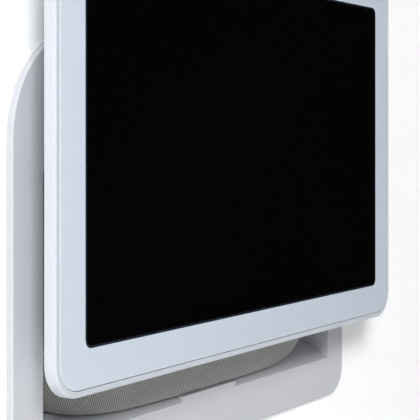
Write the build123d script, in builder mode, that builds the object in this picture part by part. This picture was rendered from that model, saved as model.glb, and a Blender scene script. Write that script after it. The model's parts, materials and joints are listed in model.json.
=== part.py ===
"""Smart display lifted into a recessed wall bracket.

Frame: +X right and +Z up as seen from the front, +Y into the wall. The origin is midway between the two
wall screw holes of the bracket's flange, on the wall surface. Everything is in millimetres.
"""
from build123d import *
from math import copysign, cos, pi, radians, sin, tan
import os

# ---------------------------------------------------------------- driving dimensions
SCREEN_W, SCREEN_H = 153.7, 89.2                     # visible black window
BORDER_X, BORDER_Z = 11.4, 11.25                     # from the window to the edge of the display half
PANEL_W = SCREEN_W + 2 * BORDER_X
PANEL_H = SCREEN_H + 2 * BORDER_Z
PANEL_T, PANEL_R = 10.0, 8.4                         # thickness and corner radius of the display half
RIM_DEPTH = 3.05                                     # side of the bezel, front to back
TAPER_X, TAPER_Z = 8.6, 4.0                          # narrowing of the rear cover behind it
CAVITY_IN, BACK_CORNER = 3.2, 6.0
RIM_FACE, SEAM = 1.55, 0.1                           # bezel face beside the glass, gap round the glass
RIM_R = 0.7                                          # rounding of the bezel's front edge
GLASS_T, GLASS_EDGE = 1.1, 0.25
COVER_T, BACK_R = 1.4, 3.0

FLANGE_W, FLANGE_H, FLANGE_T = 168.8, 111.0, 2.0     # wall bracket
FLANGE_R_TOP, FLANGE_R_BOTTOM = 27.0, 8.5
FLANGE_TOP = 9.0                                     # above the screw line
OPENING_W, OPENING_TOP, OPENING_R = 147.2, -9.0, 19.0
LIP_H = 12.4
BOX_DEPTH, BOX_WALL = 51.4, 2.4                      # from the wall surface to the inside of the back
SCREW_SPAN, SCREW_HOLE_D, SCREW_HEAD_D = 100.0, 4.5, 7.4
TAB_W, TAB_H, TAB_T = 28.0, 1.5, 1.4
SLOT_D = 3.0
FLANGE_EDGE_R = 0.4
OUTLET_W, OUTLET_H, OUTLET_R, OUTLET_Z = 40.0, 24.0, 6.0, -47.0

SETBACK = 15.4                                       # glass front to flange front
PANEL_Z = -20.0                                      # middle of the display half
LEAN = 28.0                                          # slope of the bracket's floor and of the foot
BASE_W, BASE_D, BASE_TOP = 144.0, 56.0, 76.0
FLARE, FLARE_H, TAPER = 4.6, 10.0, 16.0              # narrowing of the base at its foot and at its top
FOOT_GAP, PAD_OUT = 0.2, 0.6
FRONT_GAP = 1.9                                      # flange front to the front of the foot
FABRIC_T, SHELL_T, HEM_R = 0.9, 2.2, 1.4

LCD_W, LCD_H, LCD_T = 158.0, 97.0, 1.4               # layers behind the glass, front to back
GUIDE_T, TRAY_SKIN, CHASSIS_T, LAYER_GAP = 0.6, 0.3, 0.8, 0.1
CHASSIS_W, CHASSIS_H = 166.0, 98.0
BOSS_X, BOSS_STEP, BOSS_R, PILOT_R, RIB_T = 81.3, 38.0, 1.8, 0.75, 1.4
STANDOFF, BOARD_T, SCREW_PLAY = 0.8, 1.0, 0.25
BOARD_W, BOARD_H, BOARD_X, BOARD_Z = 80.0, 40.0, -30.0, -2.0
SHIELD_W, SHIELD_H, SHIELD_T, SHEET_T, SHIELD_X = 38.0, 30.0, 1.5, 0.3, -5.0
SPREADER_W, SPREADER_H, SPREADER_T = 56.0, 34.0, 0.5
MIC_X, MIC_HOLE_R, MIC_HOLE_DEPTH = 30.0, 0.6, 2.1
MIC_W, MIC_D, MIC_UP, MIC_DEPTH = 12.0, 2.8, 50.0, 2.65
SENSOR_W, SENSOR_H, SENSOR_T, SENSOR_UP = 8.0, 2.4, 1.2, 50.4
BOARD_HOLE_IN, BOARD_HOLE_R, STANDOFF_R = 4.0, 0.9, 2.2
CHASSIS_SCREW = (0.7, 3.2, 1.2, 0.5)                 # shank radius, length, head radius, head height
BOARD_SCREW = (0.8, 1.6, 1.7, 0.9)
LIGHTEN_X, LIGHTEN_LOW, LIGHTEN_W, LIGHTEN_H, LIGHTEN_R = 55.0, 30.0, 30.0, 16.0, 3.0
PLUG_W, PLUG_H, PLUG_T, PLUG_X, PLUG_Z = 12.0, 4.0, 1.2, 21.0, -11.0
FLEX_PLUG_W, FLEX_PLUG_H, FLEX_PLUG_T, FLEX_PLUG_Z = 20.0, 3.0, 1.0, -17.0
FLEX_W, FLEX_T, FLEX_LAP = 18.0, 0.2, 3.0
CHIP_T, CHIP_Z = 0.9, 3.0
CHIPS = ((-12.0, 14.0, 14.0), (4.0, 9.0, 12.0))      # place along the board, width, height
RADIO_W, RADIO_H, RADIO_T, RADIO_X, RADIO_Z = 12.0, 14.0, 1.6, 30.0, 4.0
ANTENNA_W, ANTENNA_H, ANTENNA_X, ANTENNA_UP = 26.0, 7.0, 54.0, 46.0

MUTE_X, MUTE_Z, MUTE_W, MUTE_H, MUTE_TRAVEL = 0.0, 26.0, 9.0, 3.4, 1.5
ROCKER_X, ROCKER_Z, ROCKER_W, ROCKER_H = 73.0, 18.0, 6.0, 20.0
ROCKER_PIN_IN, PIN_R, PIN_L = 2.6, 0.5, 10.0
KNOB_OUT, SLOT_GAP, RUN_GAP = 0.8, 0.3, 0.05
PRESS_Z, TACT_W, EAR_X, EAR_T, EAR_D, EAR_H = 7.5, 3.4, 4.2, 1.4, 2.4, 3.4
GRIP_STEP, GRIP_W, GRIP_D = 1.6, 0.5, 0.3

NECK_T = 2.5                                         # plate that closes the base at the display half
NECK_SCREWS = ((38.0, -27.0), (44.0, -53.0))
NECK_SCREW = (1.2, COVER_T + NECK_T, 2.0, 1.0)
FOOT_SCREW = (1.15, 6.0, 2.1, 0.9)
HARNESS_R, HARNESS_X, HARNESS_Z = 0.9, 50.0, -43.0
FOOT_PLATE_T, FOOT_BOSS_X, FOOT_BOSS_D, FOOT_BOSS_R = 2.0, 58.0, 28.0, 3.0
WEIGHT_W, WEIGHT_D, WEIGHT_T = 100.0, 32.0, 2.8
BOX_W, BOX_TOP, BOX_REAR, BOX_SKIN = 76.0, 45.0, 39.5, 1.6
DRIVER_H, DRIVER_R, CONE_R, COIL_R, MAGNET_R = 25.5, 18.0, 12.6, 4.7, 10.5
JACK_X, JACK_H, JACK_HOLE_R, JACK_PIN_R, JACK_DEPTH = 38.0, 11.5, 2.8, 1.0, 9.0
JACK_BODY, JACK_NOZZLE, JACK_W, JACK_BODY_H, NOZZLE_R = 8.6, 4.6, 11.0, 10.0, 4.3
JACK_OPENING_R, JACK_BEHIND = 4.6, 0.6
SOUND_STEP, SOUND_R, SOUND_COUNT = 4.2, 1.2, 7

# ---------------------------------------------------------------- places that follow from them
FLANGE_FRONT = -FLANGE_T
FLANGE_BOTTOM = FLANGE_TOP - FLANGE_H
FLANGE_MID = (FLANGE_TOP + FLANGE_BOTTOM) / 2
LIP_Z = FLANGE_BOTTOM + LIP_H
GLASS_FRONT = FLANGE_FRONT - SETBACK
GLASS_BACK = GLASS_FRONT + GLASS_T
RIM_BACK = GLASS_FRONT + RIM_DEPTH
PANEL_BACK = GLASS_FRONT + PANEL_T
COVER_INSIDE = PANEL_BACK - COVER_T
CAVITY_W, CAVITY_H, CAVITY_R = PANEL_W - 2 * CAVITY_IN, PANEL_H - 2 * CAVITY_IN, PANEL_R - CAVITY_IN
ROCKER_PIN_Y = PANEL_BACK - ROCKER_PIN_IN
LCD_FRONT = GLASS_BACK + LAYER_GAP
GUIDE_FRONT = LCD_FRONT + LCD_T + LAYER_GAP
TRAY_BACK = GUIDE_FRONT + GUIDE_T + LAYER_GAP + TRAY_SKIN
CHASSIS_FRONT = TRAY_BACK + LAYER_GAP
CHASSIS_BACK = CHASSIS_FRONT + CHASSIS_T
BOARD_FRONT = CHASSIS_BACK + STANDOFF
BOARD_BACK = BOARD_FRONT + BOARD_T
SHELL_IN = FABRIC_T + SHELL_T
RIB_END = (PANEL_W - CAVITY_IN) / 2                   # inside the bezel's wall
BOARD_HOLES = (BOARD_W - 2 * BOARD_HOLE_IN, BOARD_H - 2 * BOARD_HOLE_IN)
HARNESS_Y = COVER_INSIDE - HARNESS_R - LAYER_GAP

ALONG = Vector(0, cos(radians(LEAN)), sin(radians(LEAN)))     # up the sloping floor, into the wall
UP = Vector(0, -sin(radians(LEAN)), cos(radians(LEAN)))       # square to the floor
FLOOR_FRONT = Vector(0, FLANGE_FRONT, LIP_Z)
FOOT_FRONT = (FLOOR_FRONT + Vector(0, FRONT_GAP, FRONT_GAP * tan(radians(LEAN)))
              + UP * (FOOT_GAP + PAD_OUT))

parts = {}


def keep(name, part):
    """Label a finished piece and list it for writing."""
    part.label = name
    parts[name] = part


def facing(y):
    """Plane at depth y, drawn as seen from the front; extruding comes forward."""
    return Plane.XZ.offset(-y)


def foot_plane(height=0.0, along=0.0, x=0.0):
    """Plane parallel to the foot: local x right, y along the foot, z up from it."""
    return Plane(origin=FOOT_FRONT + UP * height + ALONG * along + Vector(x, 0, 0), x_dir=(1, 0, 0), z_dir=UP)


def plate(width, height, radius, front, rear):
    """Rounded plate centred on the display half, between two depths."""
    with BuildPart() as made:
        with BuildSketch(facing(rear)):
            with Locations((0, PANEL_Z)):
                RectangleRounded(width, height, radius)
        extrude(amount=rear - front)
    return made.part


def screws(planes, shank_r, length, head_r, head_h):
    """Pan-head screws, one per plane: the head sits on the plane and the shank runs the other way."""
    with BuildPart() as made:
        for plane in planes:
            with BuildSketch(plane):
                Circle(head_r)
            extrude(amount=head_h)
            with BuildSketch(plane):
                Circle(shank_r)
            extrude(amount=-length)
            with BuildSketch(plane.offset(head_h)):
                Rectangle(head_r, head_r / 4)
                Rectangle(head_r / 4, head_r)
            extrude(amount=-head_h / 2, mode=Mode.SUBTRACT)
    return made.part


# ---------------------------------------------------------------- form of the base
def half_width(height):
    flare = FLARE * max(0.0, 1 - height / FLARE_H) ** 2
    return BASE_W / 2 - flare - TAPER * (height / BASE_TOP) ** 3


def front_edge(height):
    return 0.118 * height


def rear_edge(height):
    return BASE_D - 0.06 * height - 0.0046 * height**2


def outline(height, inset):
    """Points of the base's rounded outline at a height above the foot, going once round."""
    half, front, rear = half_width(height) - inset, front_edge(height) + inset, rear_edge(height) - inset
    squareness = 2 / (4.0 - 1.0 * height / BASE_TOP)
    count = 36
    for i in range(count):
        angle = 2 * pi * (i + 0.5) / count
        across, deep = cos(angle), sin(angle)
        yield (half * copysign(abs(across) ** squareness, across),
               (front + rear) / 2 + (rear - front) / 2 * copysign(abs(deep) ** squareness, deep))


def base_block(inset=0.0, floor=0.0, hem=0.0):
    """Solid base, shrunk by an inset, from a height above the foot to the back of the display half."""
    with BuildPart() as block:
        for height in (floor, 8.0, 24.0, 42.0, 60.0, BASE_TOP):
            with BuildSketch(foot_plane(height)):
                with BuildLine():
                    Spline(*outline(height, inset), periodic=True)
                make_face()
        loft()
        if hem:
            fillet(block.faces().sort_by(Axis(FOOT_FRONT, UP))[0].edges(), hem)
        split(bisect_by=facing(PANEL_BACK), keep=Keep.BOTTOM)
    return block.part


# ================================================================ wall bracket
def opening_outline(grow):
    """Outline of the recess, straight-sided with large top corners, running out below the floor."""
    half, top, radius = OPENING_W / 2 + grow, OPENING_TOP + grow, OPENING_R + grow
    low = FLANGE_BOTTOM - BOX_DEPTH
    with BuildSketch() as made:
        with BuildLine():
            Polyline((-half, top - radius), (-half, low), (half, low), (half, top - radius))
            RadiusArc((half, top - radius), (half - radius, top), -radius)
            Line((half - radius, top), (-half + radius, top))
            RadiusArc((-half + radius, top), (-half, top - radius), -radius)
        make_face()
    return made.sketch


FLOOR = Plane(origin=FLOOR_FRONT, x_dir=(1, 0, 0), z_dir=UP)

with BuildPart() as recess:                          # the room inside the bracket, above its floor
    with BuildSketch(facing(BOX_DEPTH)):
        add(opening_outline(0))
    extrude(amount=BOX_DEPTH + 2 * FLANGE_T)
    split(bisect_by=FLOOR, keep=Keep.TOP)

with BuildPart() as wall_bracket:
    with BuildSketch(facing(BOX_DEPTH + BOX_WALL)):
        add(opening_outline(BOX_WALL))
    extrude(amount=BOX_DEPTH + BOX_WALL)
    split(bisect_by=FLOOR.offset(-BOX_WALL), keep=Keep.TOP)
    with BuildSketch(facing(0)) as flange:           # flange that lies on the wall
        with Locations((0, FLANGE_MID)):
            Rectangle(FLANGE_W, FLANGE_H)
        fillet(flange.vertices().group_by(Axis.Y)[-1], FLANGE_R_TOP)
        fillet(flange.vertices().group_by(Axis.Y)[0], FLANGE_R_BOTTOM)
    extrude(amount=FLANGE_T)
    fillet(wall_bracket.faces().sort_by(Axis.Y)[0].edges(), FLANGE_EDGE_R)
    add(recess.part, mode=Mode.SUBTRACT)
    with BuildSketch(facing(FLANGE_FRONT + TAB_T)):  # raised tab that stops the foot sliding out
        with Locations((0, LIP_Z)):
            Rectangle(TAB_W, 2 * TAB_H)
    extrude(amount=TAB_T)
    with BuildSketch(Plane.XY.offset(LIP_Z - LIP_H / 2)):     # slot in the floor behind the tab
        with Locations((0, FLANGE_FRONT + TAB_T + SLOT_D / 2)):
            Rectangle(TAB_W, SLOT_D)
    extrude(amount=LIP_H, mode=Mode.SUBTRACT)
    with BuildSketch(facing(BOX_DEPTH)):             # outlet for the power lead
        with Locations((JACK_X, OUTLET_Z)):
            RectangleRounded(OUTLET_W, OUTLET_H, OUTLET_R)
    extrude(amount=-BOX_WALL, mode=Mode.SUBTRACT)
    with Locations(facing(FLANGE_FRONT)):
        with GridLocations(SCREW_SPAN, 1, 2, 1):
            CounterSinkHole(SCREW_HOLE_D / 2, SCREW_HEAD_D / 2, FLANGE_T)
keep("wall_bracket", wall_bracket.part)

# ================================================================ front of the display half
GLASS_W, GLASS_H = PANEL_W - 2 * (RIM_FACE + SEAM), PANEL_H - 2 * (RIM_FACE + SEAM)
GLASS_R = PANEL_R - RIM_FACE - SEAM


def behind(x, y, z):
    """Plane at a point, facing the wall."""
    return Plane(origin=(x, y, z), x_dir=(-1, 0, 0), z_dir=(0, 1, 0))


def card(width, height, x, z, front, rear):
    """Plain rectangular piece between two depths."""
    with BuildPart() as made:
        with BuildSketch(facing(rear)):
            with Locations((x, z)):
                Rectangle(width, height)
        extrude(amount=rear - front)
    return made.part


with BuildPart() as cover_glass:
    add(plate(GLASS_W, GLASS_H, GLASS_R, GLASS_FRONT, GLASS_BACK))
    chamfer(cover_glass.faces().sort_by(Axis.Y)[0].edges(), GLASS_EDGE)
keep("cover_glass", cover_glass.part)

def boss_places():
    """Places of the six bosses, on the display half's middle."""
    return GridLocations(2 * BOSS_X, BOSS_STEP, 2, 3)


with BuildPart() as front_bezel:
    add(plate(PANEL_W, PANEL_H, PANEL_R, GLASS_FRONT, RIM_BACK))
    fillet(front_bezel.faces().sort_by(Axis.Y)[0].edges(), RIM_R)
    add(plate(GLASS_W + 2 * SEAM, GLASS_H + 2 * SEAM, GLASS_R + SEAM, GLASS_FRONT, GLASS_BACK),
        mode=Mode.SUBTRACT)
    add(plate(CAVITY_W, CAVITY_H, CAVITY_R, GLASS_BACK, RIM_BACK), mode=Mode.SUBTRACT)
    with BuildSketch(facing(CHASSIS_FRONT)):         # bosses for the chassis screws
        with Locations((0, PANEL_Z)):
            with boss_places():
                Circle(BOSS_R)
    extrude(amount=CHASSIS_FRONT - GLASS_BACK)
    with BuildSketch(facing(RIM_BACK)):              # ribs from the bosses to the bezel
        with Locations((0, PANEL_Z)):
            with GridLocations(BOSS_X + RIB_END, BOSS_STEP, 2, 3):
                Rectangle(RIB_END - BOSS_X, RIB_T)
    extrude(amount=RIM_BACK - GLASS_BACK)
    with BuildSketch(facing(CHASSIS_FRONT)):
        with Locations((0, PANEL_Z)):
            with boss_places():
                Circle(PILOT_R)
    extrude(amount=CHASSIS_FRONT - GLASS_BACK - LAYER_GAP, mode=Mode.SUBTRACT)
    with BuildSketch(Plane.XY.offset(PANEL_Z + PANEL_H / 2)):      # microphone ports in the top edge
        with Locations((0, GLASS_FRONT + MIC_HOLE_DEPTH)):
            with GridLocations(2 * MIC_X, 1, 2, 1):
                Circle(MIC_HOLE_R)
    extrude(amount=-CAVITY_IN, mode=Mode.SUBTRACT)
keep("front_bezel", front_bezel.part)

keep("lcd_panel", card(LCD_W, LCD_H, 0, PANEL_Z, LCD_FRONT, LCD_FRONT + LCD_T))
keep("light_guide", card(LCD_W - 1, LCD_H - 1, 0, PANEL_Z, GUIDE_FRONT, GUIDE_FRONT + GUIDE_T))

with BuildPart() as backlight_tray:
    add(card(LCD_W, LCD_H, 0, PANEL_Z, GUIDE_FRONT, TRAY_BACK))
    add(card(LCD_W - 0.6, LCD_H - 0.6, 0, PANEL_Z, GUIDE_FRONT, TRAY_BACK - TRAY_SKIN), mode=Mode.SUBTRACT)
keep("backlight_tray", backlight_tray.part)

keep("light_sensor", card(SENSOR_W, SENSOR_H, 0, PANEL_Z + SENSOR_UP, LCD_FRONT, LCD_FRONT + SENSOR_T))

with BuildPart() as mic_boards:
    with BuildSketch(Plane.XY.offset(PANEL_Z + MIC_UP)):
        with Locations((0, GLASS_FRONT + MIC_DEPTH)):
            with GridLocations(2 * MIC_X, 1, 2, 1):
                Rectangle(MIC_W, MIC_D)
    extrude(amount=BOARD_T)
keep("mic_boards", mic_boards.part)

# ================================================================ inside the display half
with BuildPart() as chassis:
    with BuildSketch(facing(CHASSIS_BACK)):
        with Locations((0, PANEL_Z)):
            Rectangle(CHASSIS_W, CHASSIS_H)
            with boss_places():
                Circle(PILOT_R + SCREW_PLAY, mode=Mode.SUBTRACT)
        with Locations((LIGHTEN_X, BOARD_Z), (LIGHTEN_X, PANEL_Z - LIGHTEN_LOW)):
            RectangleRounded(LIGHTEN_W, LIGHTEN_H, LIGHTEN_R, mode=Mode.SUBTRACT)
        with Locations((BOARD_X, BOARD_Z)):
            with GridLocations(*BOARD_HOLES, 2, 2):
                Circle(BOARD_HOLE_R, mode=Mode.SUBTRACT)
    extrude(amount=CHASSIS_T)
    with BuildSketch(facing(BOARD_FRONT)):           # standoffs for the main board
        with Locations((BOARD_X, BOARD_Z)):
            with GridLocations(*BOARD_HOLES, 2, 2):
                Circle(STANDOFF_R)
                Circle(BOARD_HOLE_R, mode=Mode.SUBTRACT)
    extrude(amount=STANDOFF)
keep("chassis", chassis.part)

keep("chassis_screws", screws([behind(side * BOSS_X, CHASSIS_BACK, PANEL_Z + step * BOSS_STEP)
                               for side in (-1, 1) for step in (-1, 0, 1)], *CHASSIS_SCREW))

with BuildPart() as main_board:
    add(card(BOARD_W, BOARD_H, BOARD_X, BOARD_Z, BOARD_FRONT, BOARD_BACK))
    with BuildSketch(facing(BOARD_BACK)):
        with Locations((BOARD_X, BOARD_Z)):
            with GridLocations(*BOARD_HOLES, 2, 2):
                Circle(BOARD_HOLE_R)
    extrude(amount=BOARD_T, mode=Mode.SUBTRACT)
    add(card(PLUG_W, PLUG_H, BOARD_X + PLUG_X, BOARD_Z + PLUG_Z, BOARD_BACK, BOARD_BACK + PLUG_T))
    add(card(FLEX_PLUG_W, FLEX_PLUG_H, BOARD_X, BOARD_Z + FLEX_PLUG_Z, BOARD_BACK, BOARD_BACK + FLEX_PLUG_T))
keep("main_board", main_board.part)

with BuildPart() as processor_chips:
    for chip_x, chip_w, chip_h in CHIPS:
        add(card(chip_w, chip_h, BOARD_X + chip_x, BOARD_Z + CHIP_Z, BOARD_BACK, BOARD_BACK + CHIP_T))
keep("processor_chips", processor_chips.part)

with BuildPart() as shield_can:
    shield_x, shield_z = BOARD_X + SHIELD_X, BOARD_Z + CHIP_Z
    add(card(SHIELD_W, SHIELD_H, shield_x, shield_z, BOARD_BACK, BOARD_BACK + SHIELD_T))
    add(card(SHIELD_W - 2 * SHEET_T, SHIELD_H - 2 * SHEET_T, shield_x, shield_z,
             BOARD_BACK, BOARD_BACK + SHIELD_T - SHEET_T), mode=Mode.SUBTRACT)
keep("shield_can", shield_can.part)

keep("heat_spreader", card(SPREADER_W, SPREADER_H, shield_x, shield_z - 1, BOARD_BACK + SHIELD_T,
                           BOARD_BACK + SHIELD_T + SPREADER_T))
keep("radio_module", card(RADIO_W, RADIO_H, BOARD_X + RADIO_X, BOARD_Z + RADIO_Z, BOARD_BACK,
                          BOARD_BACK + RADIO_T))
keep("board_screws", screws([behind(BOARD_X + i * BOARD_HOLES[0] / 2, BOARD_BACK, BOARD_Z + j * BOARD_HOLES[1] / 2)
                             for i in (-1, 1) for j in (-1, 1)], *BOARD_SCREW))

with BuildPart() as antennas:
    for side in (-1, 1):
        add(card(ANTENNA_W, ANTENNA_H, side * ANTENNA_X, PANEL_Z + ANTENNA_UP, COVER_INSIDE - SHEET_T,
                 COVER_INSIDE))
keep("antennas", antennas.part)

with BuildPart() as display_flex:
    low = PANEL_Z - CHASSIS_H / 2 - 0.7
    high = BOARD_Z - BOARD_H / 2 + FLEX_LAP
    add(card(FLEX_W, FLEX_T, BOARD_X, low, LCD_FRONT, BOARD_FRONT - FLEX_T))
    add(card(FLEX_W, high - low, BOARD_X, (high + low) / 2, BOARD_FRONT - 2 * FLEX_T, BOARD_FRONT - FLEX_T))
keep("display_flex", display_flex.part)

# ================================================================ controls on the back
MUTE_REST = MUTE_X - MUTE_TRAVEL                     # the slider rests at one end of its slot

with BuildPart() as mute_slider:
    add(card(MUTE_W + 5, MUTE_H + 2, MUTE_REST, MUTE_Z, COVER_INSIDE - 0.65, COVER_INSIDE - RUN_GAP))
    add(card(MUTE_W, MUTE_H, MUTE_REST, MUTE_Z, COVER_INSIDE - RUN_GAP, PANEL_BACK + KNOB_OUT))
    fillet(mute_slider.faces().sort_by(Axis.Y)[-1].edges(), 0.3)
    with BuildSketch(facing(PANEL_BACK + KNOB_OUT)):               # grip grooves
        with Locations((MUTE_REST, MUTE_Z)):
            with GridLocations(GRIP_STEP, 1, 3, 1):
                Rectangle(GRIP_W, MUTE_H)
    extrude(amount=-GRIP_D, mode=Mode.SUBTRACT)
keep("mute_slider", mute_slider.part)

keep("mute_switch", card(9, 4, MUTE_X, MUTE_Z, BOARD_BACK, COVER_INSIDE - 1.0))

with BuildPart() as volume_rocker:
    add(card(ROCKER_W, ROCKER_H, ROCKER_X, ROCKER_Z, COVER_INSIDE, PANEL_BACK + KNOB_OUT))
    fillet(volume_rocker.faces().sort_by(Axis.Y)[-1].edges(), 0.5)
    add(card(ROCKER_W, 3.4, ROCKER_X, ROCKER_Z, ROCKER_PIN_Y - 0.7, COVER_INSIDE))
    with BuildSketch(Plane.YZ.offset(ROCKER_X - ROCKER_W / 2)):
        with Locations((ROCKER_PIN_Y, ROCKER_Z)):
            Circle(PIN_R + RUN_GAP)
    extrude(amount=ROCKER_W, mode=Mode.SUBTRACT)
    for side in (-1, 1):                             # feet that press the tact switches
        add(card(3, 2, ROCKER_X, ROCKER_Z + side * PRESS_Z, COVER_INSIDE - 0.6, COVER_INSIDE))
keep("volume_rocker", volume_rocker.part)

with BuildPart() as rocker_pin:
    with BuildSketch(Plane.YZ.offset(ROCKER_X - PIN_L / 2)):
        with Locations((ROCKER_PIN_Y, ROCKER_Z)):
            Circle(PIN_R)
    extrude(amount=PIN_L)
keep("rocker_pin", rocker_pin.part)

with BuildPart() as control_boards:
    add(card(24, 8, MUTE_X, MUTE_Z, BOARD_FRONT, BOARD_BACK))
    add(card(10, 20, ROCKER_X, ROCKER_Z, BOARD_FRONT - 0.4, BOARD_BACK - 0.4))
keep("control_boards", control_boards.part)

with BuildPart() as tact_switches:
    for side in (-1, 1):
        add(card(TACT_W, TACT_W, ROCKER_X, ROCKER_Z + side * PRESS_Z, BOARD_BACK - 0.4, COVER_INSIDE - 1.3))
keep("tact_switches", tact_switches.part)

def tapered(front, rear, front_in, rear_in_x, rear_in_z):
    """Block narrowing between two depths, each end inset from the display half's outline."""
    with BuildPart() as made:
        for depth, in_x, in_z, radius in ((front, front_in, front_in, PANEL_R - front_in),
                                          (rear, rear_in_x, rear_in_z, BACK_CORNER)):
            with BuildSketch(facing(depth)):
                with Locations((0, PANEL_Z)):
                    RectangleRounded(PANEL_W - 2 * in_x, PANEL_H - 2 * in_z, radius)
        loft()
    return made.part


INSIDE_SHARE = (COVER_INSIDE - RIM_BACK) / (PANEL_BACK - RIM_BACK)

with BuildPart() as rear_cover:
    add(tapered(RIM_BACK, PANEL_BACK, SEAM, TAPER_X, TAPER_Z))
    fillet(rear_cover.faces().sort_by(Axis.Y)[-1].edges(), BACK_R)
    add(tapered(RIM_BACK, COVER_INSIDE, CAVITY_IN, TAPER_X * INSIDE_SHARE + COVER_T + SEAM,
                TAPER_Z * INSIDE_SHARE + COVER_T + SEAM), mode=Mode.SUBTRACT)
    with BuildSketch(facing(PANEL_BACK)):            # slots for the controls, holes for harness and screws
        with Locations((MUTE_X, MUTE_Z)):
            Rectangle(MUTE_W + 2 * (MUTE_TRAVEL + SLOT_GAP), MUTE_H + 2 * SLOT_GAP)
        with Locations((ROCKER_X, ROCKER_Z)):
            Rectangle(ROCKER_W + 2 * SLOT_GAP, ROCKER_H + 2 * SLOT_GAP)
        with Locations((HARNESS_X, HARNESS_Z)):
            Circle(3)
        for x, z in NECK_SCREWS:
            with Locations((-x, z), (x, z)):
                Circle(1.3)
    extrude(amount=COVER_T, mode=Mode.SUBTRACT)
    for side in (-1, 1):                             # ears that hold the rocker's pin
        with BuildSketch(Plane.YZ.offset(ROCKER_X + side * EAR_X - EAR_T / 2)):
            with Locations((COVER_INSIDE - 1.0, ROCKER_Z)):
                Rectangle(EAR_D, EAR_H)
            with Locations((ROCKER_PIN_Y, ROCKER_Z)):
                Circle(PIN_R, mode=Mode.SUBTRACT)
        extrude(amount=EAR_T)
keep("rear_cover", rear_cover.part)

keep("neck_screws", screws([behind(i * x, COVER_INSIDE, z).rotated((180, 0, 0))
                            for x, z in NECK_SCREWS for i in (-1, 1)], *NECK_SCREW))

# ================================================================ base
def jack_plane(along):
    """Plane square to the power inlet's axis; local y points up from the foot."""
    return Plane(origin=FOOT_FRONT + UP * JACK_H + ALONG * along + Vector(JACK_X, 0, 0),
                 x_dir=(-1, 0, 0), z_dir=ALONG)


def driver_plane(along):
    """Plane square to the loudspeaker's axis, a distance behind the front of the foot."""
    return Plane(origin=FOOT_FRONT + UP * DRIVER_H + ALONG * along, x_dir=(-1, 0, 0), z_dir=ALONG)


outer_block = base_block(hem=HEM_R)
shell_block = base_block(FABRIC_T)
inner_block = base_block(SHELL_IN)

with BuildPart() as fabric_sleeve:
    add(outer_block)
    add(shell_block, mode=Mode.SUBTRACT)
    with BuildSketch(jack_plane(BASE_D - 8)):
        Circle(JACK_OPENING_R)
    extrude(amount=16, mode=Mode.SUBTRACT)
keep("fabric_sleeve", fabric_sleeve.part)

with BuildPart() as base_shell:
    add(shell_block)
    add(inner_block, mode=Mode.SUBTRACT)
    with BuildSketch(driver_plane(BOX_REAR + 2)):    # sound holes
        with GridLocations(SOUND_STEP, SOUND_STEP, SOUND_COUNT, SOUND_COUNT):
            Circle(SOUND_R)
    extrude(amount=20, mode=Mode.SUBTRACT)
    with BuildSketch(jack_plane(BASE_D - 8)):
        Circle(JACK_OPENING_R)
    extrude(amount=16, mode=Mode.SUBTRACT)
    for side in (-1, 1):                             # bosses for the foot screws, ribbed to the side walls
        with BuildSketch(foot_plane(2.6)):
            with Locations((side * FOOT_BOSS_X, BASE_D / 2 - FOOT_BOSS_D / 2),
                           (side * FOOT_BOSS_X, BASE_D / 2 + FOOT_BOSS_D / 2)):
                Circle(FOOT_BOSS_R)
                with Locations((side * 4.2, 0)):
                    Rectangle(8.4, 2)
                Circle(PILOT_R + 0.4, mode=Mode.SUBTRACT)
        extrude(amount=7)
keep("base_shell", base_shell.part)

with BuildPart() as neck_plate:
    add(inner_block)
    split(bisect_by=facing(PANEL_BACK + NECK_T), keep=Keep.TOP)
    with BuildSketch(facing(PANEL_BACK)):
        with Locations((HARNESS_X, HARNESS_Z)):
            Circle(3)
        for x, z in NECK_SCREWS:
            with Locations((-x, z), (x, z)):
                Circle(1.2)
    extrude(amount=-NECK_T, mode=Mode.SUBTRACT)
keep("neck_plate", neck_plate.part)


def foot_sheet(inset, bottom, top):
    """Flat sheet of the foot's outline between two heights."""
    with BuildPart() as made:
        with BuildSketch(foot_plane(bottom)):
            with BuildLine():
                Spline(*outline(0, inset), periodic=True)
            make_face()
        extrude(amount=top - bottom)
    return made.part


foot_bosses = [(i * FOOT_BOSS_X, BASE_D / 2 + j * FOOT_BOSS_D / 2) for i in (-1, 1) for j in (-1, 1)]
PLATE_LOW = 0.4

with BuildPart() as foot_plate:
    add(foot_sheet(SHELL_IN + 0.5, PLATE_LOW, PLATE_LOW + FOOT_PLATE_T))
    with BuildSketch(foot_plane(PLATE_LOW)):
        with Locations(*foot_bosses):
            Circle(2.3)
    extrude(amount=1.0, mode=Mode.SUBTRACT)
    with BuildSketch(foot_plane(PLATE_LOW)):
        with Locations(*foot_bosses):
            Circle(1.3)
    extrude(amount=FOOT_PLATE_T, mode=Mode.SUBTRACT)
keep("foot_plate", foot_plate.part)
keep("foot_pad", foot_sheet(SHELL_IN + 0.9, -PAD_OUT, PLATE_LOW))
keep("foot_screws", screws([foot_plane(PLATE_LOW + 1.0, along, x).rotated((180, 0, 0)) for x, along in foot_bosses],
                           *FOOT_SCREW))

with BuildPart() as weight_plate:
    with BuildSketch(foot_plane(PLATE_LOW + FOOT_PLATE_T + LAYER_GAP, BASE_D / 2)):
        RectangleRounded(WEIGHT_W, WEIGHT_D, 5)
    extrude(amount=WEIGHT_T)
keep("weight_plate", weight_plate.part)

# ---------------------------------------------------------------- loudspeaker
BOX_LOW = PLATE_LOW + FOOT_PLATE_T + WEIGHT_T + 0.6


def box_profile(inset):
    """Section of the sealed enclosure; local x is along the foot and y is up."""
    with BuildSketch() as made:
        with BuildLine():
            Polyline((8 + inset, BOX_LOW + inset), (BOX_REAR - inset, BOX_LOW + inset),
                     (BOX_REAR - inset, BOX_TOP - inset), (22.5 + inset, BOX_TOP - inset), close=True)
        make_face()
    return made.sketch


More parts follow.
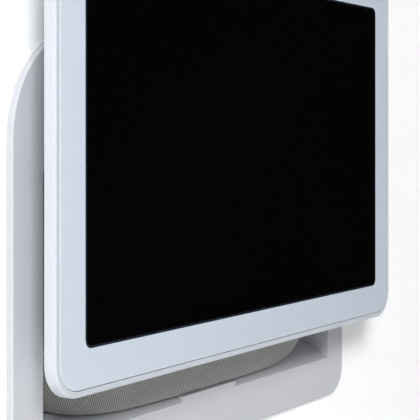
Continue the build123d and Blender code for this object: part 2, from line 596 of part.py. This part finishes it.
with BuildPart() as speaker_enclosure:
    for inset, mode in ((0.0, Mode.ADD), (BOX_SKIN, Mode.SUBTRACT)):
        with BuildSketch(Plane(origin=FOOT_FRONT - Vector(BOX_W / 2 - inset, 0, 0), x_dir=ALONG, z_dir=(1, 0, 0))):
            add(box_profile(inset))
        extrude(amount=BOX_W - 2 * inset, mode=mode)
    with BuildSketch(driver_plane(BOX_REAR)):
        Circle(DRIVER_R - 2.4)
        with PolarLocations(DRIVER_R - 1.3, 4, 45):
            Circle(0.6)
    extrude(amount=-BOX_SKIN, mode=Mode.SUBTRACT)
keep("speaker_enclosure", speaker_enclosure.part)

DRIVER = driver_plane(BOX_REAR)
SECTION = Plane(origin=DRIVER.origin, x_dir=UP, z_dir=(-1, 0, 0))     # local x outward, y along the axis
DRIVER_AXIS = Axis(DRIVER.origin, ALONG)

with BuildPart() as driver_basket:
    with BuildSketch(SECTION):
        with BuildLine():
            Polyline((DRIVER_R, 0.0), (DRIVER_R, 0.8), (15.3, 0.8), (15.3, 0.1), (14.6, 0.1), (14.6, -1.0),
                     (10.2, -8.0), (6.0, -8.0), (6.0, -9.0), (10.8, -9.0), (15.5, -1.0), (15.5, 0.0), close=True)
        make_face()
    revolve(axis=DRIVER_AXIS)
    with BuildSketch(driver_plane(BOX_REAR + 0.8)):
        with PolarLocations(DRIVER_R - 1.3, 4, 45):
            Circle(0.6)
    extrude(amount=-0.8, mode=Mode.SUBTRACT)
keep("driver_basket", driver_basket.part)

with BuildPart() as driver_magnet:
    with BuildSketch(SECTION):
        with BuildLine():
            Polyline((0, -9.0), (COIL_R - 0.6, -9.0), (COIL_R - 0.6, -14.0), (COIL_R + 0.6, -14.0),
                     (COIL_R + 0.6, -9.0), (MAGNET_R, -9.0), (MAGNET_R, -15.5), (0, -15.5), close=True)
        make_face()
    revolve(axis=DRIVER_AXIS)
keep("driver_magnet", driver_magnet.part)

with BuildPart() as speaker_cone:                    # cone, dust cap and voice-coil former in one
    with BuildSketch(SECTION):
        with BuildLine():
            Polyline((CONE_R, -0.4), (CONE_R, 0.1), (COIL_R + 0.2, -4.8), (0, -3.8), (0, -4.3),
                     (COIL_R - 0.2, -5.3), (COIL_R - 0.2, -12.0), (COIL_R + 0.2, -12.0),
                     (COIL_R + 0.2, -5.4), close=True)
        make_face()
    revolve(axis=DRIVER_AXIS)
keep("speaker_cone", speaker_cone.part)

with BuildPart() as cone_surround:                   # half-roll of rubber round the cone
    roll = (15.2 + CONE_R + 0.3) / 2
    with BuildSketch(SECTION):
        with Locations((roll, 0.2)):
            Circle(15.2 - roll)
            Circle(15.2 - roll - 0.4, mode=Mode.SUBTRACT)
            with Locations((0, -1)):
                Rectangle(4, 2, mode=Mode.SUBTRACT)
    revolve(axis=DRIVER_AXIS)
keep("cone_surround", cone_surround.part)


def driver_screw(turn):
    """Plane under the head of one of the driver's screws."""
    reach = DRIVER_R - 1.3
    away = Vector(reach * cos(radians(turn)), 0, 0) + UP * (reach * sin(radians(turn)))
    return Plane(origin=DRIVER.origin + ALONG * 0.8 + away, x_dir=(1, 0, 0), z_dir=ALONG)


keep("speaker_screws", screws([driver_screw(turn) for turn in (45, 135, 225, 315)], 0.55, 2.4, 1.1, 0.6))

# ---------------------------------------------------------------- power and wiring
with BuildPart() as dc_jack:
    with BuildSketch(jack_plane(BOX_REAR + JACK_BEHIND)):
        Rectangle(JACK_W, JACK_BODY_H)
    extrude(amount=JACK_BODY)
    with BuildSketch(jack_plane(BOX_REAR + JACK_BEHIND + JACK_BODY)):
        Circle(NOZZLE_R)
    extrude(amount=JACK_NOZZLE)
    with BuildSketch(jack_plane(BOX_REAR + JACK_BEHIND + JACK_BODY + JACK_NOZZLE)):
        Circle(JACK_HOLE_R)
        Circle(JACK_PIN_R, mode=Mode.SUBTRACT)
    extrude(amount=-JACK_DEPTH, mode=Mode.SUBTRACT)
keep("dc_jack", dc_jack.part)

with BuildPart() as power_board:
    with BuildSketch(foot_plane(JACK_H + 5.2, 44.2, JACK_X + 2)):
        Rectangle(26, 6.6)
    extrude(amount=BOARD_T)
keep("power_board", power_board.part)

with BuildPart() as wire_harness:                    # from the power board through the neck to the main board
    with BuildLine() as route:
        FilletPolyline(FOOT_FRONT + UP * 19.2 + ALONG * 43 + Vector(JACK_X + 8, 0, 0),
                       FOOT_FRONT + UP * 24 + ALONG * 32 + Vector(HARNESS_X, 0, 0),
                       Vector(HARNESS_X, 2, HARNESS_Z),
                       Vector(HARNESS_X, HARNESS_Y, HARNESS_Z),
                       Vector(HARNESS_X - 3, HARNESS_Y, -20),
                       Vector(BOARD_X + 27, HARNESS_Y, BOARD_Z - 11),
                       radius=1.6)
    with BuildSketch(Plane(route.line @ 0, z_dir=route.line % 0)):
        Circle(HARNESS_R)
    sweep()
keep("wire_harness", wire_harness.part)

# ---------------------------------------------------------------- write the pieces
os.makedirs("parts", exist_ok=True)
for name, part in parts.items():
    export_step(part, f"parts/{name}.step")
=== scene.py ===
"""Smart display in its wall bracket: looks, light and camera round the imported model."""
import bpy
import bmesh
import json
from math import cos, pi, radians, sin
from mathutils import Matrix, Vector, noise
from mathutils.bvhtree import BVHTree


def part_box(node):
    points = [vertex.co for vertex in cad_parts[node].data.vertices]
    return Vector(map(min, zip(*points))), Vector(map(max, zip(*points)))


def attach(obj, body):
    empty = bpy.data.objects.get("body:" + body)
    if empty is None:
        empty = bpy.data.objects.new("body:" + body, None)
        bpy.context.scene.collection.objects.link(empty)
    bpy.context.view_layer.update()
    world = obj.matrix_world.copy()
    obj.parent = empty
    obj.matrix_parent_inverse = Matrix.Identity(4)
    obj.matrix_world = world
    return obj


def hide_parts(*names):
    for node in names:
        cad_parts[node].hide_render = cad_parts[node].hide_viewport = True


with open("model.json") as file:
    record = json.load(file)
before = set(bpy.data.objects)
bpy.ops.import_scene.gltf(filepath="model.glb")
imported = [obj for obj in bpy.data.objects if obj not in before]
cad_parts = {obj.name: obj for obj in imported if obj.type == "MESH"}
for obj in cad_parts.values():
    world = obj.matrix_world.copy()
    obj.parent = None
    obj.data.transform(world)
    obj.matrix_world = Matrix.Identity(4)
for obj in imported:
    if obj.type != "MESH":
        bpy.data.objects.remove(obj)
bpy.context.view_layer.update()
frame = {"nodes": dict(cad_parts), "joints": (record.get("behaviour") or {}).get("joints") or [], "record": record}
MM = 0.001

# ---------------------------------------------------------------- places, from the frame
GLASS_LOW, GLASS_HIGH = (Vector(corner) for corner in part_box("cover_glass"))
SCREEN_CENTRE = Vector(((GLASS_LOW.x + GLASS_HIGH.x) / 2, GLASS_LOW.y, (GLASS_LOW.z + GLASS_HIGH.z) / 2))
GLASS_W, GLASS_H = GLASS_HIGH.x - GLASS_LOW.x, GLASS_HIGH.z - GLASS_LOW.z


# ---------------------------------------------------------------- node helpers
class Shader:
    """A material's node tree, with short calls for the nodes used here."""

    def __init__(self, name, **surface):
        self.material = bpy.data.materials.new(name)
        self.material.use_nodes = True
        self.tree = self.material.node_tree
        self.surface = self.tree.nodes["Principled BSDF"]
        for socket, value in surface.items():
            self.surface.inputs[socket.replace("_", " ")].default_value = value
        self.coords = self.tree.nodes.new("ShaderNodeTexCoord").outputs["Object"]

    def link(self, source, target):
        self.tree.links.new(source, target)

    def add(self, kind, values=None, **settings):
        """A node; settings are its attributes, and values its sockets by name or number."""
        node = self.tree.nodes.new("ShaderNode" + kind)
        for key, value in settings.items():
            setattr(node, key, value)
        for key, value in (values or {}).items():
            if hasattr(value, "links"):
                self.link(value, node.inputs[key])
            else:
                node.inputs[key].default_value = value
        return node

    def scaled(self, x, y, z):
        return self.add("Mapping", {"Vector": self.coords, "Scale": (x, y, z)}).outputs[0]

    def noise(self, scale, detail=3.0, rough=0.55, vector=None):
        return self.add("TexNoise", {"Vector": vector or self.coords, "Scale": scale, "Detail": detail,
                                     "Roughness": rough}).outputs["Fac"]

    def math(self, operation, a, b=0.0):
        return self.add("Math", {0: a, 1: b}, operation=operation).outputs[0]

    def ramp(self, fac, low, high, at=(0.0, 1.0)):
        node = self.add("ValToRGB", {"Fac": fac})
        for element, colour, place in zip(node.color_ramp.elements, (low, high), at):
            element.color = (*colour, 1.0)
            element.position = place
        return node.outputs["Color"]

    def range(self, value, low, high):
        return self.add("MapRange", {"Value": value, "To Min": low, "To Max": high}).outputs[0]

    def bump(self, height, distance, strength=1.0, normal=None):
        values = {"Height": height, "Distance": distance, "Strength": strength}
        if normal:
            values["Normal"] = normal
        return self.add("Bump", values).outputs["Normal"]

    def finish(self, colour=None, roughness=None, normal=None):
        for socket, source in (("Base Color", colour), ("Roughness", roughness), ("Normal", normal)):
            if source:
                self.link(source, self.surface.inputs[socket])
        return self.material


# ---------------------------------------------------------------- materials
def moulded(name, colour, roughness=0.38, grain=0.05, **more):
    """Satin injection-moulded plastic: fine spark-erosion grain and a faint tone change."""
    s = Shader(name, Roughness=roughness, IOR=1.48, **more)
    tone = s.ramp(s.noise(18.0, 4.0), tuple(c * 0.965 for c in colour), colour, (0.25, 0.75))
    fine = s.noise(9000.0, 2.0)
    blotch = s.noise(140.0, 3.0)
    return s.finish(tone, s.range(blotch, roughness - 0.05, roughness + 0.07), s.bump(fine, grain * MM, 0.35))


LAYER = 0.2 * MM


def printed(name, colour):
    """White plastic laid down in fine layers that run parallel to the wall."""
    s = Shader(name, Roughness=0.52, IOR=1.46)
    tone = s.ramp(s.noise(26.0, 5.0), tuple(c * 0.95 for c in colour), colour, (0.2, 0.8))
    layers = s.add("TexWave", {"Vector": s.coords, "Scale": 0.5 / (LAYER * 2 * pi), "Distortion": 0.25,
                               "Detail": 1.0, "Detail Scale": 40.0},
                   wave_type="BANDS", bands_direction="Y", wave_profile="SIN").outputs["Fac"]
    grain = s.noise(2600.0, 3.0)
    step = s.bump(layers, 0.035 * MM, 0.5)
    return s.finish(tone, s.range(grain, 0.46, 0.60), s.bump(grain, 0.02 * MM, 0.4, step))


def ink_glass(name, colour):
    """Border of the cover glass: white ink seen through clear gloss."""
    s = Shader(name, Roughness=0.16, IOR=1.5, Coat_Weight=1.0, Coat_Roughness=0.03)
    tone = s.ramp(s.noise(12.0, 2.0), tuple(c * 0.985 for c in colour), colour)
    smear = s.noise(60.0, 5.0, 0.6)
    return s.finish(tone, s.range(smear, 0.14, 0.24))


def black_glass(name):
    """Switched-off screen behind anti-reflective glass, with faint finger smears in its gloss."""
    s = Shader(name, Roughness=0.08, IOR=1.45, Specular_IOR_Level=0.25)
    tone = s.ramp(s.noise(8.0, 2.0), (0.0006, 0.0006, 0.0008), (0.0012, 0.0012, 0.0015))
    smear = s.noise(45.0, 6.0, 0.65)
    return s.finish(tone, s.range(smear, 0.05, 0.13))


def line_glass(name):
    """Thin blue-black line printed round the window."""
    s = Shader(name, Roughness=0.15, IOR=1.5, Specular_IOR_Level=0.3)
    return s.finish(s.ramp(s.noise(40.0), (0.010, 0.013, 0.020), (0.016, 0.020, 0.030)))


KNIT_CELL = 0.68 * MM


def knit(name):
    """Grey knit: a lattice of crossing yarns on the piece's own unrolled coordinates, with painted shade in the
    grooves between the yarns.
    """
    s = Shader(name, Roughness=0.88, Sheen_Weight=0.25, Sheen_Roughness=0.45, Specular_IOR_Level=0.25)
    flat = s.add("UVMap", uv_map="knit").outputs[0]
    wobble = s.add("TexNoise", {"Vector": flat, "Scale": 420.0, "Detail": 2.0}).outputs["Color"]
    shift = s.add("VectorMath", {0: wobble, "Scale": 0.00030}, operation="SCALE").outputs[0]
    place = s.add("VectorMath", {0: flat, 1: shift}, operation="ADD").outputs[0]
    split = s.add("SeparateXYZ", {0: place})
    turn = 2 * pi / (2 * KNIT_CELL)
    across = s.math("MULTIPLY", split.outputs[0], turn)
    upward = s.math("MULTIPLY", split.outputs[1], turn * 0.8)
    rising = s.math("ABSOLUTE", s.math("SINE", s.math("ADD", across, upward)))
    falling = s.math("ABSOLUTE", s.math("SINE", s.math("SUBTRACT", across, upward)))
    height = s.math("MULTIPLY", rising, falling)
    fibre = s.add("TexNoise", {"Vector": flat, "Scale": 5200.0, "Detail": 2.0}).outputs["Fac"]
    uneven = s.add("TexNoise", {"Vector": flat, "Scale": 90.0, "Detail": 4.0}).outputs["Fac"]
    body = s.math("ADD", s.math("MULTIPLY", height, 0.75), s.math("MULTIPLY", fibre, 0.35))
    body = s.math("ADD", body, s.math("MULTIPLY", uneven, 0.12))
    # Painted shade: the lattice's low grooves between the yarns are coloured near black. The fibre and unevenness
    # noise is the yarn's own tone.
    yarn_and_painted_groove_shade = s.ramp(body, (0.035, 0.035, 0.034), (0.47, 0.47, 0.445), (0.20, 0.92))
    return s.finish(yarn_and_painted_groove_shade, s.range(fibre, 0.80, 0.95), s.bump(height, 0.16 * MM, 0.8))


def rubber(name, colour):
    s = Shader(name, Roughness=0.72, Specular_IOR_Level=0.35)
    return s.finish(s.ramp(s.noise(80.0), tuple(c * 0.8 for c in colour), colour),
                    s.range(s.noise(700.0), 0.64, 0.8), s.bump(s.noise(4200.0), 0.03 * MM, 0.5))


def metal(name, colour, roughness=0.34):
    """Stamped or turned metal with fine rolling marks."""
    s = Shader(name, Metallic=1.0, Roughness=roughness)
    marks = s.add("TexNoise", {"Vector": s.scaled(60, 2500, 2500), "Scale": 1.0, "Detail": 3.0}).outputs["Fac"]
    return s.finish(s.ramp(marks, tuple(c * 0.86 for c in colour), colour),
                    s.range(marks, roughness - 0.08, roughness + 0.1), s.bump(marks, 0.01 * MM, 0.3))


def board(name):
    """Circuit board: green solder mask over a faint pattern of tracks."""
    s = Shader(name, Roughness=0.35)
    tracks = s.add("TexBrick", {"Vector": s.scaled(300, 300, 300), "Color1": (0.010, 0.09, 0.05, 1),
                                "Color2": (0.014, 0.12, 0.065, 1), "Mortar": (0.05, 0.20, 0.11, 1),
                                "Mortar Size": 0.02}).outputs["Color"]
    return s.finish(tracks, s.range(s.noise(300.0), 0.3, 0.45), s.bump(s.noise(500.0), 0.01 * MM, 0.4))


SLOT_MATERIALS = {
    "bracket_plastic": printed("bracket_print", (0.50, 0.505, 0.53)),
    "housing_white": moulded("housing_white", (0.50, 0.52, 0.56)),
    "control_white": moulded("control_white", (0.50, 0.52, 0.55), 0.42),
    "pad_rubber": rubber("pad_rubber", (0.10, 0.10, 0.105)),
    "inner_plastic": moulded("inner_plastic", (0.055, 0.055, 0.06), 0.5, 0.08),
    "lcd_glass": black_glass("lcd_black"),
    "light_guide": moulded("light_guide", (0.80, 0.84, 0.86), 0.2, 0.02),
    "sheet_metal": metal("sheet_metal", (0.62, 0.63, 0.65)),
    "chassis_metal": metal("chassis_metal", (0.74, 0.75, 0.77), 0.42),
    "steel_screws": metal("screw_steel", (0.55, 0.55, 0.57), 0.28),
    "circuit_board": board("circuit_board"),
    "chip_black": moulded("chip_black", (0.022, 0.022, 0.024), 0.45, 0.06),
    "driver_metal": moulded("driver_black", (0.03, 0.03, 0.032), 0.4, 0.03),
    "cone_paper": rubber("cone_paper", (0.05, 0.05, 0.052)),
    "glass_front": ink_glass("glass_ink", (0.56, 0.62, 0.69)),
    "knit_fabric": knit("knit_grey"),
}
for part in frame["record"]["subparts"]:
    mesh = frame["nodes"][part["node"]].data
    mesh.materials.clear()
    mesh.materials.append(SLOT_MATERIALS[part["material_slot"]])


# ---------------------------------------------------------------- mesh helpers
def new_piece(name, mesh, body, smooth=True):
    piece = bpy.data.objects.new(name, mesh)
    bpy.context.scene.collection.objects.link(piece)
    if smooth:
        for face in mesh.polygons:
            face.use_smooth = True
    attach(piece, body)
    return piece


def rounded_loop(width, height, radius, count=10):
    """Corner points of a rounded rectangle round the screen's centre, as (x, z), going once round."""
    for i, (sx, sz) in enumerate(((1, 1), (-1, 1), (-1, -1), (1, -1))):
        cx, cz = sx * (width / 2 - radius), sz * (height / 2 - radius)
        for step in range(count + 1):
            angle = (i + step / count) * pi / 2
            yield cx + radius * cos(angle), cz + radius * sin(angle)


# ---------------------------------------------------------------- cover glass
SCREEN_W, SCREEN_H = 153.7 * MM, 89.2 * MM
LINE_W = 0.6 * MM
EDGE = 0.3 * MM
EDGE_SOFT = 0.3 * EDGE
GLASS_R, WINDOW_R = 6.75 * MM, 1.6 * MM


def glass_mesh():
    """The cover glass as one sheet: rounded edge, white border, thin line and black window as face groups."""
    depth = GLASS_HIGH.y - GLASS_LOW.y
    rings = [(0, GLASS_R, depth), (0, GLASS_R, EDGE), (EDGE_SOFT, GLASS_R, EDGE_SOFT), (EDGE, GLASS_R - EDGE, 0)]
    bm = bmesh.new()

    def ring(width, height, corner, y):
        return [bm.verts.new((SCREEN_CENTRE.x + x, GLASS_LOW.y + y, SCREEN_CENTRE.z + z))
                for x, z in rounded_loop(width, height, corner)]

    loops = [(ring(GLASS_W - 2 * inset, GLASS_H - 2 * inset, corner, y), 0) for inset, corner, y in rings]
    for grow, corner, kind in ((LINE_W, WINDOW_R + LINE_W, 0), (0.0, WINDOW_R, 1)):
        loops.append((ring(SCREEN_W + 2 * grow, SCREEN_H + 2 * grow, corner, 0), kind))
    for (outer, _), (inner, kind) in zip(loops, loops[1:]):
        for i in range(len(outer)):
            j = (i + 1) % len(outer)
            bm.faces.new((outer[i], outer[j], inner[j], inner[i])).material_index = kind
    bm.faces.new(loops[-1][0]).material_index = 2
    bm.faces.new(list(reversed(loops[0][0]))).material_index = 0
    bmesh.ops.recalc_face_normals(bm, faces=bm.faces)
    mesh = bpy.data.meshes.new("cover_glass_sheet")
    bm.to_mesh(mesh)
    bm.free()
    for material in (SLOT_MATERIALS["glass_front"], line_glass("glass_line"), black_glass("glass_black")):
        mesh.materials.append(material)
    return mesh


glass = new_piece("cover_glass_sheet", glass_mesh(), "display", smooth=False)
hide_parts("cover_glass")


# ---------------------------------------------------------------- fabric sleeve
CONE_AXIS = next(Vector(j["axis"]) for j in frame["joints"] if j["name"] == "cone_travel")
ALONG = CONE_AXIS.normalized()                       # up the sloping foot, into the wall
UP = Vector((1, 0, 0)).cross(ALONG)                  # square to the foot
FAR, SPREAD = 0.2, 1.9                               # length of the search rays, sideways spread of their directions
COLUMNS, ROWS, ROW_PACKING = 440, 84, 1.15
SEAM_DEPTH, SEAM_HALF = 0.25 * MM, 1.6               # groove of the rear seam; half-width in columns
SLACK, HEM_LOW = 0.12 * MM, 0.3 * MM
KNIT_THICK = 0.8 * MM


def sleeve_surface():
    """Function giving the outermost fabric in a direction at a height, with the fabric's height range."""
    cad = frame["nodes"]["fabric_sleeve"].data
    tree = BVHTree.FromPolygons([v.co for v in cad.vertices], [tuple(p.vertices) for p in cad.polygons])
    spots = sorted((v.co.dot(UP), v.co.dot(ALONG)) for v in cad.vertices)
    floor, top = spots[0][0], spots[-1][0]
    foot = [along for height, along in spots if height < floor + 2 * MM]
    middle, apex = (min(foot) + max(foot)) / 2, spots[-1][1]

    def surface(angle, height):
        away = (Vector((1, 0, 0)) * cos(angle) * SPREAD + ALONG * sin(angle)).normalized()
        share = (height - floor) / (top - floor)
        axis = UP * height + ALONG * (middle + (apex - middle) * share)
        return tree.ray_cast(axis + away * FAR, -away, FAR)[0], away

    return surface, floor, top


def sleeve_columns():
    """Columns of points up the fabric, from the turned hem to the edge at the display half."""
    surface, floor, top = sleeve_surface()
    for column in range(COLUMNS):
        angle = pi / 2 + 2 * pi * column / COLUMNS
        low, high = floor, top
        for _ in range(16):
            middle = (low + high) / 2
            low, high = (middle, high) if surface(angle, middle)[0] else (low, middle)
        edge, away = surface(angle, floor + HEM_LOW)
        points = [edge - away * 2.0 * MM + UP * 0.9 * MM, edge - away * 0.9 * MM + UP * 0.1 * MM, edge]
        for row in range(1, ROWS + 1):
            height = floor + (low - floor) * (row / ROWS) ** ROW_PACKING
            found = surface(angle, max(height, floor + HEM_LOW))[0]
            points.append(found if found else points[-1])
        seam = SEAM_DEPTH * max(0.0, 1 - abs((column + COLUMNS / 2) % COLUMNS - COLUMNS / 2) / SEAM_HALF)
        for row, point in enumerate(points[3:-1], 3):
            slack = noise.noise(point * 90) * SLACK - SLACK - seam
            points[row] = point + away * slack
        yield points


def sleeve_mesh():
    columns = list(sleeve_columns())
    count = len(columns[0])
    mesh = bpy.data.meshes.new("fabric_knit")
    starts = [c * count for c in range(COLUMNS)]
    faces = [(left + r, right + r, right + r + 1, left + r + 1)
             for left, right in zip(starts, starts[1:] + starts[:1]) for r in range(count - 1)]
    mesh.from_pydata([point for points in columns for point in points], [], faces)
    reference = count // 4
    around = [0.0]
    for c in range(COLUMNS):
        around.append(around[-1] + (columns[(c + 1) % COLUMNS][reference] - columns[c][reference]).length)
    upward = []
    for points in columns:
        lengths = [0.0]
        for below, above in zip(points, points[1:]):
            lengths.append(lengths[-1] + (above - below).length)
        upward.append(lengths)
    layer = mesh.uv_layers.new(name="knit")
    for face in mesh.polygons:
        c, r = divmod(face.index, count - 1)
        corners = ((c, r), (c + 1, r), (c + 1, r + 1), (c, r + 1))
        for loop, (column, row) in zip(face.loop_indices, corners):
            layer.data[loop].uv = (around[column], upward[column % COLUMNS][row])
    mesh.validate()
    bm = bmesh.new()
    bm.from_mesh(mesh)
    bmesh.ops.recalc_face_normals(bm, faces=bm.faces)
    area = sum(face.calc_area() for face in bm.faces)
    bm.to_mesh(mesh)
    bm.free()
    mesh.materials.append(SLOT_MATERIALS["knit_fabric"])
    return mesh, around[-1], max(lengths[-1] for lengths in upward), area


knit_mesh, knit_round, knit_high, knit_area = sleeve_mesh()
sleeve = new_piece("fabric_knit", knit_mesh, "display")
thick = sleeve.modifiers.new("thickness", "SOLIDIFY")
thick.thickness = KNIT_THICK
thick.offset = -1
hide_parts("fabric_sleeve")


# ---------------------------------------------------------------- foot pad
PAD_STEPS = 180
PAD_RINGS = ((0.0, 1.0), (0.0, 0.30), (0.1, 0.10), (0.35, 0.0), (2.4, 0.0), (2.6, 0.25), (3.2, 0.25),
             (3.4, 0.0))


def pad_mesh():
    """Rubber pad with a rounded lower edge and a grip groove; rings are (inset in mm, share of the height)."""
    cad = frame["nodes"]["foot_pad"].data
    tree = BVHTree.FromPolygons([v.co for v in cad.vertices], [tuple(p.vertices) for p in cad.polygons])
    heights = [v.co.dot(UP) for v in cad.vertices]
    alongs = [v.co.dot(ALONG) for v in cad.vertices]
    low, high = min(heights), max(heights)
    centre = UP * ((low + high) / 2) + ALONG * ((min(alongs) + max(alongs)) / 2)
    points = []
    edges = []
    for step in range(PAD_STEPS):
        angle = 2 * pi * step / PAD_STEPS
        away = (Vector((1, 0, 0)) * cos(angle) * SPREAD + ALONG * sin(angle)).normalized()
        edges.append((tree.ray_cast(centre + away * FAR, -away, FAR)[0], away))
    for inset, share in PAD_RINGS:
        for edge, away in edges:
            points.append(edge - away * inset * MM + UP * (low + (high - low) * share - edge.dot(UP)))
    faces = [(k * PAD_STEPS + i, k * PAD_STEPS + (i + 1) % PAD_STEPS, (k + 1) * PAD_STEPS + (i + 1) % PAD_STEPS,
              (k + 1) * PAD_STEPS + i) for k in range(len(PAD_RINGS) - 1) for i in range(PAD_STEPS)]
    last = (len(PAD_RINGS) - 1) * PAD_STEPS
    faces.append(tuple(range(last, last + PAD_STEPS)))
    faces.append(tuple(reversed(range(PAD_STEPS))))
    mesh = bpy.data.meshes.new("foot_pad_rubber")
    mesh.from_pydata(points, [], faces)
    bm = bmesh.new()
    bm.from_mesh(mesh)
    bmesh.ops.recalc_face_normals(bm, faces=bm.faces)
    bm.to_mesh(mesh)
    bm.free()
    mesh.materials.append(SLOT_MATERIALS["pad_rubber"])
    return mesh


pad = new_piece("foot_pad_rubber", pad_mesh(), "display", smooth=False)
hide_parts("foot_pad")

# ---------------------------------------------------------------- stage: wall, floor, light, camera
WALL_W, WALL_TOP, FLOOR_DROP = 1.6, 0.6, 0.30
WALL_SINK = 0.1 * MM                                 # keeps the wall off the flange's back face
HIDE_SIDE, HIDE_LOW, HIDE_TOP = 4.2 * MM, 5 * MM, 11 * MM      # how far the flange covers the cut-out
CUT_ACROSS, CUT_DOWN = 22 * MM, 18.04 * MM           # its sloping top corners
flange = [Vector(corner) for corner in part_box("wall_bracket")]


def stage_material(name, colour, one_sided=False):
    s = Shader(name, Roughness=0.9, Specular_IOR_Level=0.1)
    material = s.finish(s.ramp(s.noise(3.0), tuple(c * 0.985 for c in colour), colour))
    if one_sided:
        clear = s.add("BsdfTransparent").outputs[0]
        back = s.add("NewGeometry").outputs["Backfacing"]
        mix = s.add("MixShader", {0: back, 1: s.surface.outputs[0], 2: clear}).outputs[0]
        s.link(mix, s.tree.nodes["Material Output"].inputs["Surface"])
    return material


def wall_mesh():
    """Wall surface with a cut-out that the bracket's recess passes through and its flange covers."""
    left, right = flange[0].x + HIDE_SIDE, flange[1].x - HIDE_SIDE
    low, high = flange[0].z + HIDE_LOW, flange[1].z - HIDE_TOP
    hole = [(left, low), (right, low), (right, high - CUT_DOWN), (right - CUT_ACROSS, high),
            (left + CUT_ACROSS, high), (left, high - CUT_DOWN)]
    frame_edge = [(-WALL_W, -FLOOR_DROP), (WALL_W, -FLOOR_DROP), (WALL_W, WALL_TOP), (-WALL_W, WALL_TOP)]
    bm = bmesh.new()
    for outline in (frame_edge, hole):
        corners = [bm.verts.new((x, -WALL_SINK, z)) for x, z in outline]
        for a, b in zip(corners, corners[1:] + corners[:1]):
            bm.edges.new((a, b))
    bmesh.ops.triangle_fill(bm, edges=bm.edges, use_beauty=True)
    for face in bm.faces:
        if face.normal.y > 0:
            face.normal_flip()
    mesh = bpy.data.meshes.new("wall")
    bm.to_mesh(mesh)
    bm.free()
    mesh.materials.append(stage_material("wall_paint", (0.90, 0.90, 0.90), one_sided=True))
    return mesh


def stage_plane(name, corners, material):
    mesh = bpy.data.meshes.new(name)
    mesh.from_pydata(corners, [], [tuple(range(len(corners)))])
    mesh.materials.append(material)
    plane = bpy.data.objects.new(name, mesh)
    bpy.context.scene.collection.objects.link(plane)
    return plane


wall = bpy.data.objects.new("wall", wall_mesh())
bpy.context.scene.collection.objects.link(wall)
stage_plane("floor", [(-3, -3, -FLOOR_DROP), (3, -3, -FLOOR_DROP), (3, 3, -FLOOR_DROP), (-3, 3, -FLOOR_DROP)],
            stage_material("floor_paint", (0.84, 0.84, 0.845)))


def softbox(name, place, target, size, power, colour=(1, 1, 1)):
    """Square area light aimed at a point and left out of the picture itself."""
    light = bpy.data.lights.new(name, "AREA")
    light.shape = "SQUARE"
    light.size = size
    light.energy = power
    light.color = colour
    lamp = bpy.data.objects.new(name, light)
    lamp.location = place
    lamp.rotation_euler = (Vector(target) - Vector(place)).to_track_quat("-Z", "Y").to_euler()
    lamp.visible_camera = False
    bpy.context.scene.collection.objects.link(lamp)
    return lamp


softbox("key", (-1.15, -1.0, 0.75), SCREEN_CENTRE, 0.45, 32, (0.98, 0.99, 1.0))
softbox("front_fill", (-0.1, -1.5, 0.3), SCREEN_CENTRE, 1.0, 2.4, (1.0, 0.99, 0.97))
softbox("back_fill", (0.4, 1.4, 0.8), SCREEN_CENTRE, 1.0, 10)

world = bpy.data.worlds.new("studio")
world.use_nodes = True
world.node_tree.nodes["Background"].inputs["Color"].default_value = (0.93, 0.95, 1.0, 1.0)
world.node_tree.nodes["Background"].inputs["Strength"].default_value = 0.18
bpy.context.scene.world = world

# A black card seen only by reflections, so that the screen mirrors darkness as it does in a studio.
mirror = Vector((0.86, -0.51, 0.0))
side = Vector((0.51, 0.86, 0.0))
card_centre = SCREEN_CENTRE + mirror * 0.9
card = stage_plane("black_card", [card_centre + side * x + Vector((0, 0, z))
                                  for x, z in ((-0.6, -0.5), (0.6, -0.5), (0.6, 0.5), (-0.6, 0.5))],
                   stage_material("card_black", (0.001, 0.001, 0.001)))
for sight in ("visible_camera", "visible_diffuse", "visible_shadow", "visible_transmission"):
    setattr(card, sight, False)

VIEW_TURN = -58.0
EYE = Vector((-308.8, -177.6, 1.3)) * MM            # from the middle of the screen
camera_data = bpy.data.cameras.new("camera")
camera_data.lens = 110.6
camera_data.sensor_width = 36.0
camera_data.shift_y = -0.16
camera_data.clip_start = 0.01
camera = bpy.data.objects.new("camera", camera_data)
camera.location = SCREEN_CENTRE + EYE
camera.rotation_euler = (pi / 2, 0, radians(VIEW_TURN))
bpy.context.scene.collection.objects.link(camera)
bpy.context.scene.camera = camera
bpy.context.scene.view_settings.view_transform = "Standard"
